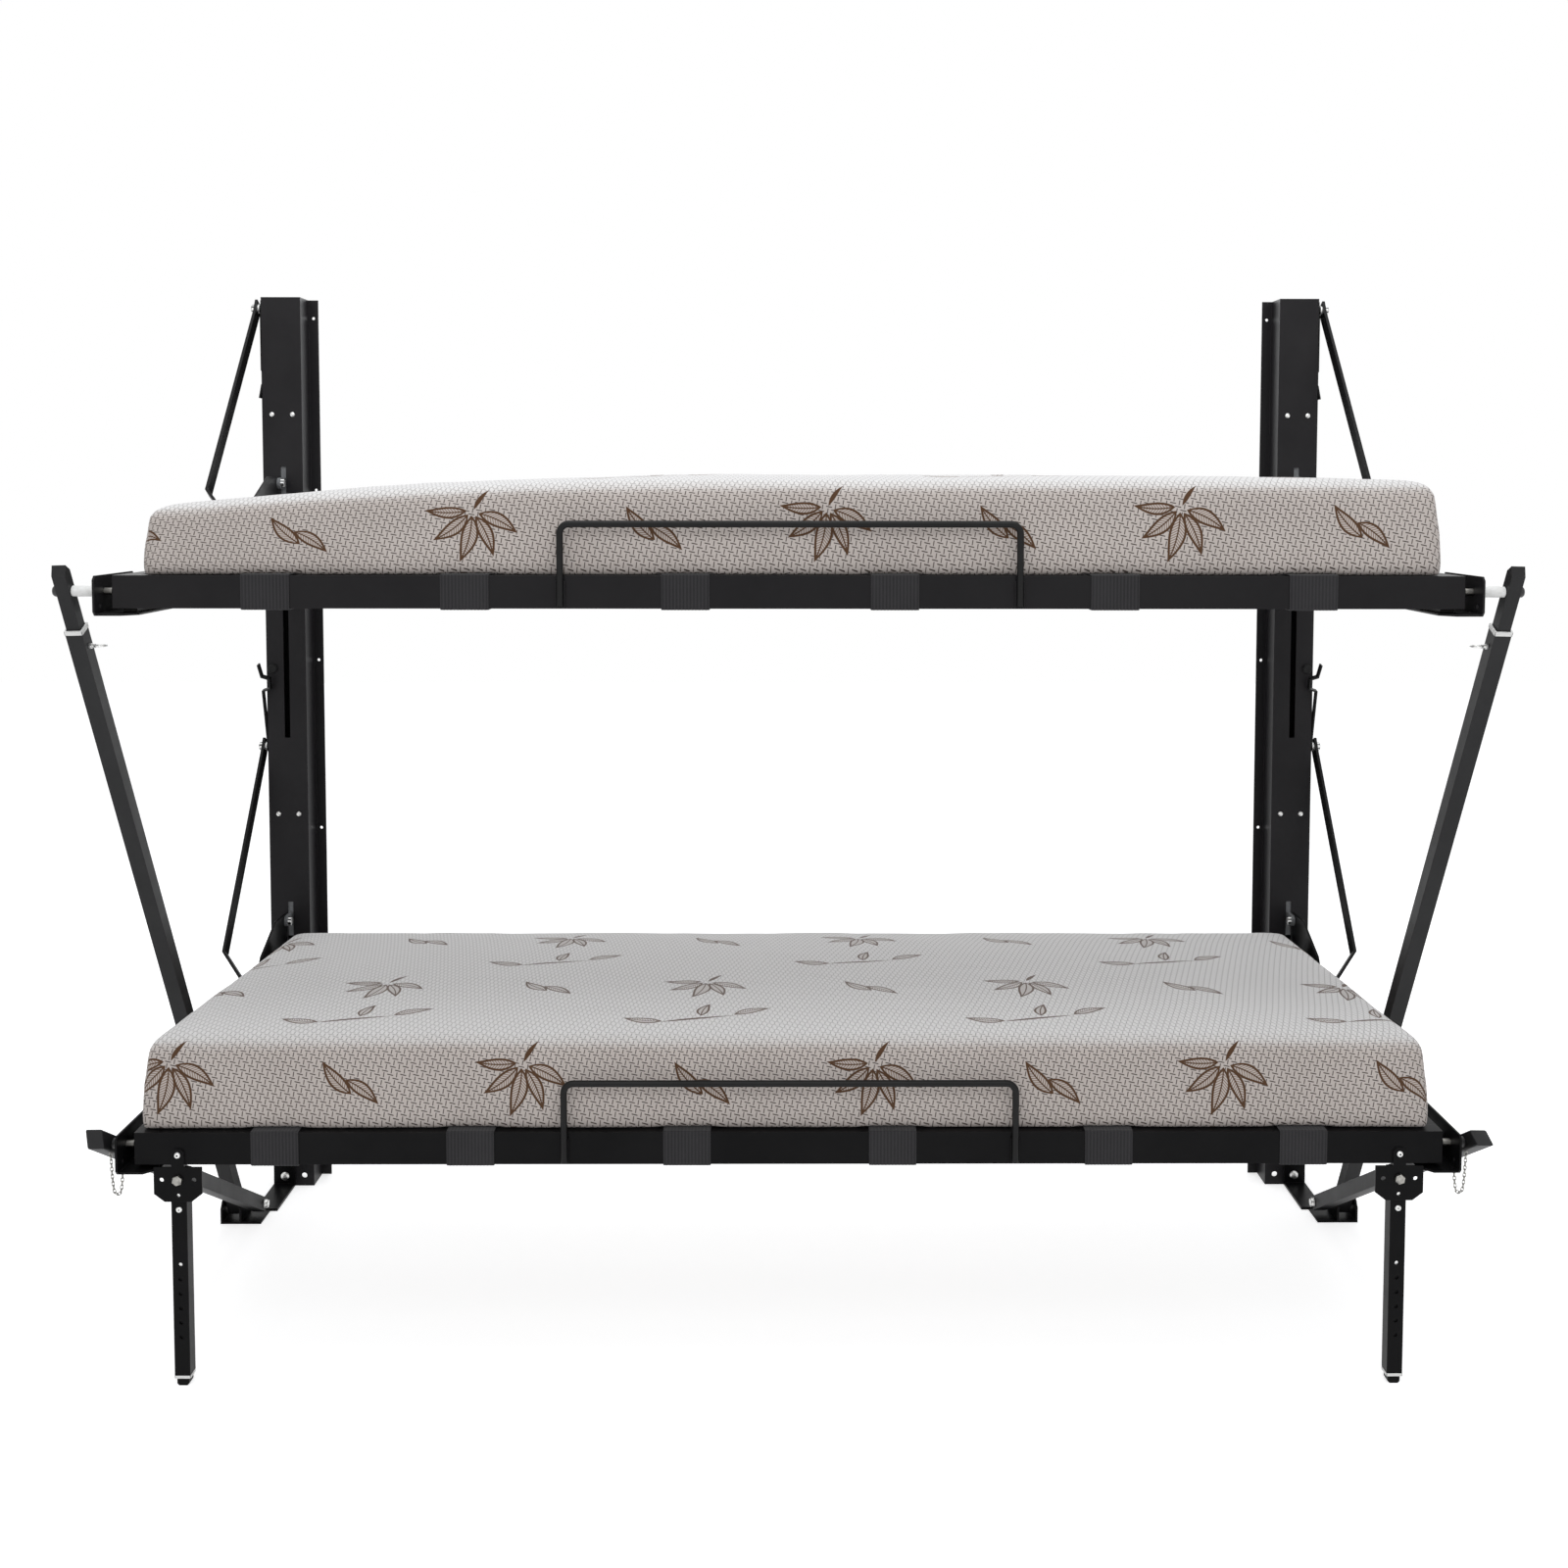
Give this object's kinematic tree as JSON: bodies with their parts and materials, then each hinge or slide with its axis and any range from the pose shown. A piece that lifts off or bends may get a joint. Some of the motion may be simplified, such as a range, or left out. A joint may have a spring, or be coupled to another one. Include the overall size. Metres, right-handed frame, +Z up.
{
  "type": "folding wall bunk bed",
  "caption": "Two-tier wall bunk: two posts carry two mattress frames that slide down and turn up flat, with braces, corner struts and folding legs.",
  "frame": {"origin": "middle of the footprint, on the floor", "axes": "+X along the bed, +Z up, -Y towards the front, with the wall at the +Y side"},
  "size_m": [2.1514, 0.8358, 1.688],
  "materials": {
    "post_paint": "semi-gloss powder coat",
    "rail_paint": "semi-gloss powder coat",
    "tube_paint": "satin powder coat",
    "bar_paint": "semi-gloss black paint",
    "slider_plastic": "matt light-grey nylon",
    "webbing": "ribbed woven webbing",
    "mattress_cover": "knitted ticking with leaf sprigs",
    "zinc": "bright zinc plate",
    "black_steel": "black oxide"
  },
  "bodies": {
    "wall_frame": {"left_post": "post_paint", "right_post": "post_paint", "left_floor_bracket": "bar_paint", "right_floor_bracket": "bar_paint"},
    "upper_carriage": {"upper_left_slider": "slider_plastic", "upper_right_slider": "slider_plastic"},
    "upper_bed": {"upper_front_rail": "rail_paint", "upper_rear_rail": "rail_paint", "upper_left_end_rail": "rail_paint", "upper_right_end_rail": "rail_paint", "upper_strap_1": "webbing", "upper_strap_2": "webbing", "upper_strap_3": "webbing", "upper_strap_4": "webbing", "upper_strap_5": "webbing", "upper_strap_6": "webbing", "upper_guard_rod": "bar_paint", "upper_mattress": "mattress_cover"},
    "upper_braces": {"upper_left_brace": "bar_paint", "upper_right_brace": "bar_paint"},
    "upper_left_stow_hook": {"upper_left_hook": "bar_paint"},
    "upper_right_stow_hook": {"upper_right_hook": "bar_paint"},
    "lower_carriage": {"lower_left_slider": "slider_plastic", "lower_right_slider": "slider_plastic"},
    "lower_bed": {"lower_front_rail": "rail_paint", "lower_rear_rail": "rail_paint", "lower_left_end_rail": "rail_paint", "lower_right_end_rail": "rail_paint", "lower_strap_1": "webbing", "lower_strap_2": "webbing", "lower_strap_3": "webbing", "lower_strap_4": "webbing", "lower_strap_5": "webbing", "lower_strap_6": "webbing", "lower_guard_rod": "bar_paint", "lower_mattress": "mattress_cover"},
    "lower_braces": {"lower_left_brace": "bar_paint", "lower_right_brace": "bar_paint"},
    "lower_left_stow_hook": {"lower_left_hook": "bar_paint"},
    "lower_right_stow_hook": {"lower_right_hook": "bar_paint"},
    "left_upper_strut": {"left_upper_strut_tube": "tube_paint"},
    "left_upper_strut_extension": {"left_upper_strut_inner": "tube_paint", "left_upper_corner_bolt": "black_steel"},
    "left_upper_strut_pull_pin": {"left_upper_strut_pull_pin": "zinc"},
    "left_lower_strut": {"left_lower_strut_tube": "tube_paint"},
    "left_lower_strut_pin": {"left_lower_corner_pin": "black_steel"},
    "left_leg": {"left_leg_tube": "tube_paint"},
    "left_leg_foot_slide": {"left_leg_foot": "bar_paint"},
    "left_leg_foot_button_body": {"left_foot_button": "zinc"},
    "left_leg_lock_button_body": {"left_leg_lock_button": "zinc"},
    "right_upper_strut": {"right_upper_strut_tube": "tube_paint"},
    "right_upper_strut_extension": {"right_upper_strut_inner": "tube_paint", "right_upper_corner_bolt": "black_steel"},
    "right_upper_strut_pull_pin": {"right_upper_strut_pull_pin": "zinc"},
    "right_lower_strut": {"right_lower_strut_tube": "tube_paint"},
    "right_lower_strut_pin": {"right_lower_corner_pin": "black_steel"},
    "right_leg": {"right_leg_tube": "tube_paint"},
    "right_leg_foot_slide": {"right_leg_foot": "bar_paint"},
    "right_leg_foot_button_body": {"right_foot_button": "zinc"},
    "right_leg_lock_button_body": {"right_leg_lock_button": "zinc"}
  },
  "joints": [
    {"name": "upper_slide", "type": "slide", "parent": "wall_frame", "child": "upper_carriage", "axis": [0, 0, -1], "range_m": [0, 0.44926]},
    {"name": "upper_fold", "type": "hinge", "parent": "upper_carriage", "child": "upper_bed", "pos_m": [0, 0.33393, 1.343], "axis": [-1, 0, 0], "range_deg": [0, 90]},
    {"name": "upper_brace_turn", "type": "hinge", "parent": "wall_frame", "child": "upper_braces", "pos_m": [0, 0.37793, 1.668], "axis": [1, 0, 0], "range_deg": [0, 11.48]},
    {"name": "upper_left_hook_turn", "type": "hinge", "parent": "wall_frame", "child": "upper_left_stow_hook", "pos_m": [0, 0.37793, 1.668], "axis": [-1, 0, 0], "range_deg": [-5, 120]},
    {"name": "upper_right_hook_turn", "type": "hinge", "parent": "wall_frame", "child": "upper_right_stow_hook", "pos_m": [0, 0.37793, 1.668], "axis": [-1, 0, 0], "range_deg": [-5, 120]},
    {"name": "lower_slide", "type": "slide", "parent": "wall_frame", "child": "lower_carriage", "axis": [0, 0, -1], "range_m": [0, 0.44926]},
    {"name": "lower_fold", "type": "hinge", "parent": "lower_carriage", "child": "lower_bed", "pos_m": [0, 0.33393, 0.52], "axis": [-1, 0, 0], "range_deg": [0, 90]},
    {"name": "lower_brace_turn", "type": "hinge", "parent": "wall_frame", "child": "lower_braces", "pos_m": [0, 0.37793, 0.845], "axis": [1, 0, 0], "range_deg": [0, 11.48]},
    {"name": "lower_left_hook_turn", "type": "hinge", "parent": "wall_frame", "child": "lower_left_stow_hook", "pos_m": [0, 0.37793, 0.845], "axis": [1, 0, 0], "range_deg": [0, 100]},
    {"name": "lower_right_hook_turn", "type": "hinge", "parent": "wall_frame", "child": "lower_right_stow_hook", "pos_m": [0, 0.37793, 0.845], "axis": [1, 0, 0], "range_deg": [0, 100]},
    {"name": "left_upper_strut_turn", "type": "hinge", "parent": "wall_frame", "child": "left_upper_strut", "pos_m": [-1.015, 0.21293, 0.025], "axis": [-0.9995, 0.0199, -0.0262], "range_deg": [0, 25.44]},
    {"name": "left_upper_strut_slide", "type": "slide", "parent": "left_upper_strut", "child": "left_upper_strut_extension", "axis": [-0.0323, -0.4504, 0.8923], "range_m": [0, 0.27761]},
    {"name": "left_upper_strut_pull_pin_pull", "type": "slide", "parent": "left_upper_strut", "child": "left_upper_strut_pull_pin", "axis": [0.9995, -0.0146, 0.0289], "range_m": [0, 0.006], "stiffness_N_per_m": 300, "springref_m": -0.004},
    {"name": "left_lower_strut_swing", "type": "hinge", "parent": "wall_frame", "child": "left_lower_strut", "pos_m": [-0.976, 0.21293, 0.025], "axis": [1, 0, 0], "range_deg": [0, 26]},
    {"name": "left_lower_strut_pin_pull", "type": "slide", "parent": "left_lower_strut", "child": "left_lower_strut_pin", "axis": [-1, 0, 0], "range_m": [0, 0.024]},
    {"name": "left_leg_fold", "type": "hinge", "parent": "lower_bed", "child": "left_leg", "pos_m": [-0.903, -0.38227, 0.315], "axis": [0, -1, 0], "range_deg": [0, 90]},
    {"name": "left_foot_slide", "type": "slide", "parent": "left_leg", "child": "left_leg_foot_slide", "axis": [0, 0, -1], "range_m": [0, 0.11]},
    {"name": "left_foot_button_press", "type": "slide", "parent": "left_leg_foot_slide", "child": "left_leg_foot_button_body", "axis": [0, 1, 0], "range_m": [0, 0.004], "stiffness_N_per_m": 250, "springref_m": -0.003},
    {"name": "left_leg_lock_button_press", "type": "slide", "parent": "left_leg", "child": "left_leg_lock_button_body", "axis": [0, 1, 0], "range_m": [0, 0.004], "stiffness_N_per_m": 250, "springref_m": -0.003},
    {"name": "right_upper_strut_turn", "type": "hinge", "parent": "wall_frame", "child": "right_upper_strut", "pos_m": [1.015, 0.21293, 0.025], "axis": [-0.9995, -0.0199, 0.0262], "range_deg": [0, 25.44]},
    {"name": "right_upper_strut_slide", "type": "slide", "parent": "right_upper_strut", "child": "right_upper_strut_extension", "axis": [0.0323, -0.4504, 0.8923], "range_m": [0, 0.27761]},
    {"name": "right_upper_strut_pull_pin_pull", "type": "slide", "parent": "right_upper_strut", "child": "right_upper_strut_pull_pin", "axis": [-0.9995, -0.0146, 0.0289], "range_m": [0, 0.006], "stiffness_N_per_m": 300, "springref_m": -0.004},
    {"name": "right_lower_strut_swing", "type": "hinge", "parent": "wall_frame", "child": "right_lower_strut", "pos_m": [0.976, 0.21293, 0.025], "axis": [1, 0, 0], "range_deg": [0, 26]},
    {"name": "right_lower_strut_pin_pull", "type": "slide", "parent": "right_lower_strut", "child": "right_lower_strut_pin", "axis": [1, 0, 0], "range_m": [0, 0.024]},
    {"name": "right_leg_fold", "type": "hinge", "parent": "lower_bed", "child": "right_leg", "pos_m": [0.903, -0.38227, 0.315], "axis": [0, 1, 0], "range_deg": [0, 90]},
    {"name": "right_foot_slide", "type": "slide", "parent": "right_leg", "child": "right_leg_foot_slide", "axis": [0, 0, -1], "range_m": [0, 0.11]},
    {"name": "right_foot_button_press", "type": "slide", "parent": "right_leg_foot_slide", "child": "right_leg_foot_button_body", "axis": [0, 1, 0], "range_m": [0, 0.004], "stiffness_N_per_m": 250, "springref_m": -0.003},
    {"name": "right_leg_lock_button_press", "type": "slide", "parent": "right_leg", "child": "right_leg_lock_button_body", "axis": [0, 1, 0], "range_m": [0, 0.004], "stiffness_N_per_m": 250, "springref_m": -0.003}
  ],
  "couplings": [
    {"joint": "upper_slide", "follows": "upper_fold", "m_per_rad": 0.28575},
    {"joint": "upper_brace_turn", "follows": "upper_fold", "ratio": 0.12705},
    {"joint": "lower_slide", "follows": "lower_fold", "m_per_rad": 0.28575},
    {"joint": "lower_brace_turn", "follows": "lower_fold", "ratio": 0.12705},
    {"joint": "left_upper_strut_turn", "follows": "upper_fold", "ratio": 0.28212},
    {"joint": "left_upper_strut_slide", "follows": "upper_fold", "m_per_rad": 0.17648},
    {"joint": "right_upper_strut_turn", "follows": "upper_fold", "ratio": 0.28212},
    {"joint": "right_upper_strut_slide", "follows": "upper_fold", "m_per_rad": 0.17648}
  ]
}
